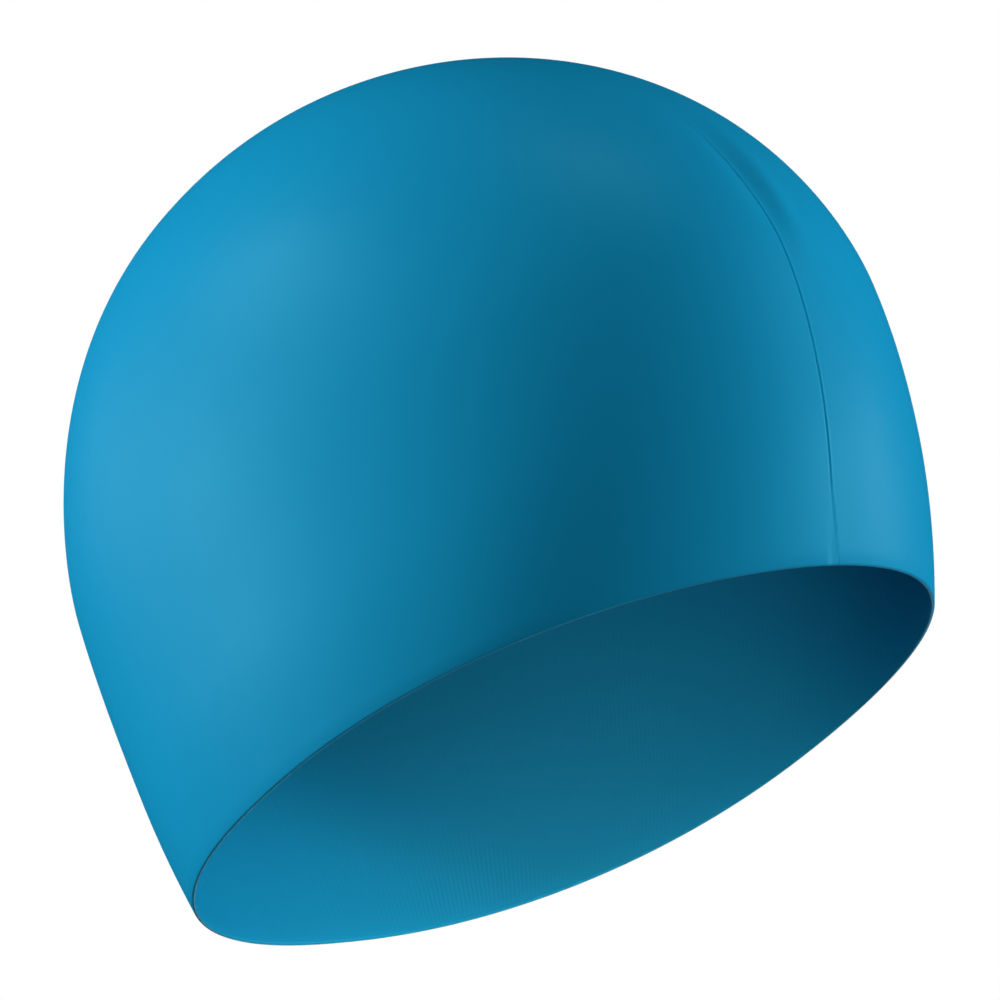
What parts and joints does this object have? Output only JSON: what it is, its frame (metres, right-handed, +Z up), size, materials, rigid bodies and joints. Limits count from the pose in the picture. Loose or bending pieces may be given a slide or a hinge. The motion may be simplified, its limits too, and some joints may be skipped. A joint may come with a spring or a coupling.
{
  "type": "swim cap",
  "caption": "Plain moulded silicone swim cap in its worn form: one thin dome-shaped wall with an open oval rim, a raised middle line and a ribbed grip inside.",
  "frame": {"origin": "highest point of the inside of the crown, where the wearer's head carries the cap", "axes": "+Z up as worn on an upright head, -Y towards the forehead, +X towards the wearer's left"},
  "size_m": [0.154, 0.2056, 0.193],
  "materials": {
    "silicone": "satin"
  },
  "bodies": {
    "root": {"cap_shell": "silicone"}
  },
  "joints": []
}
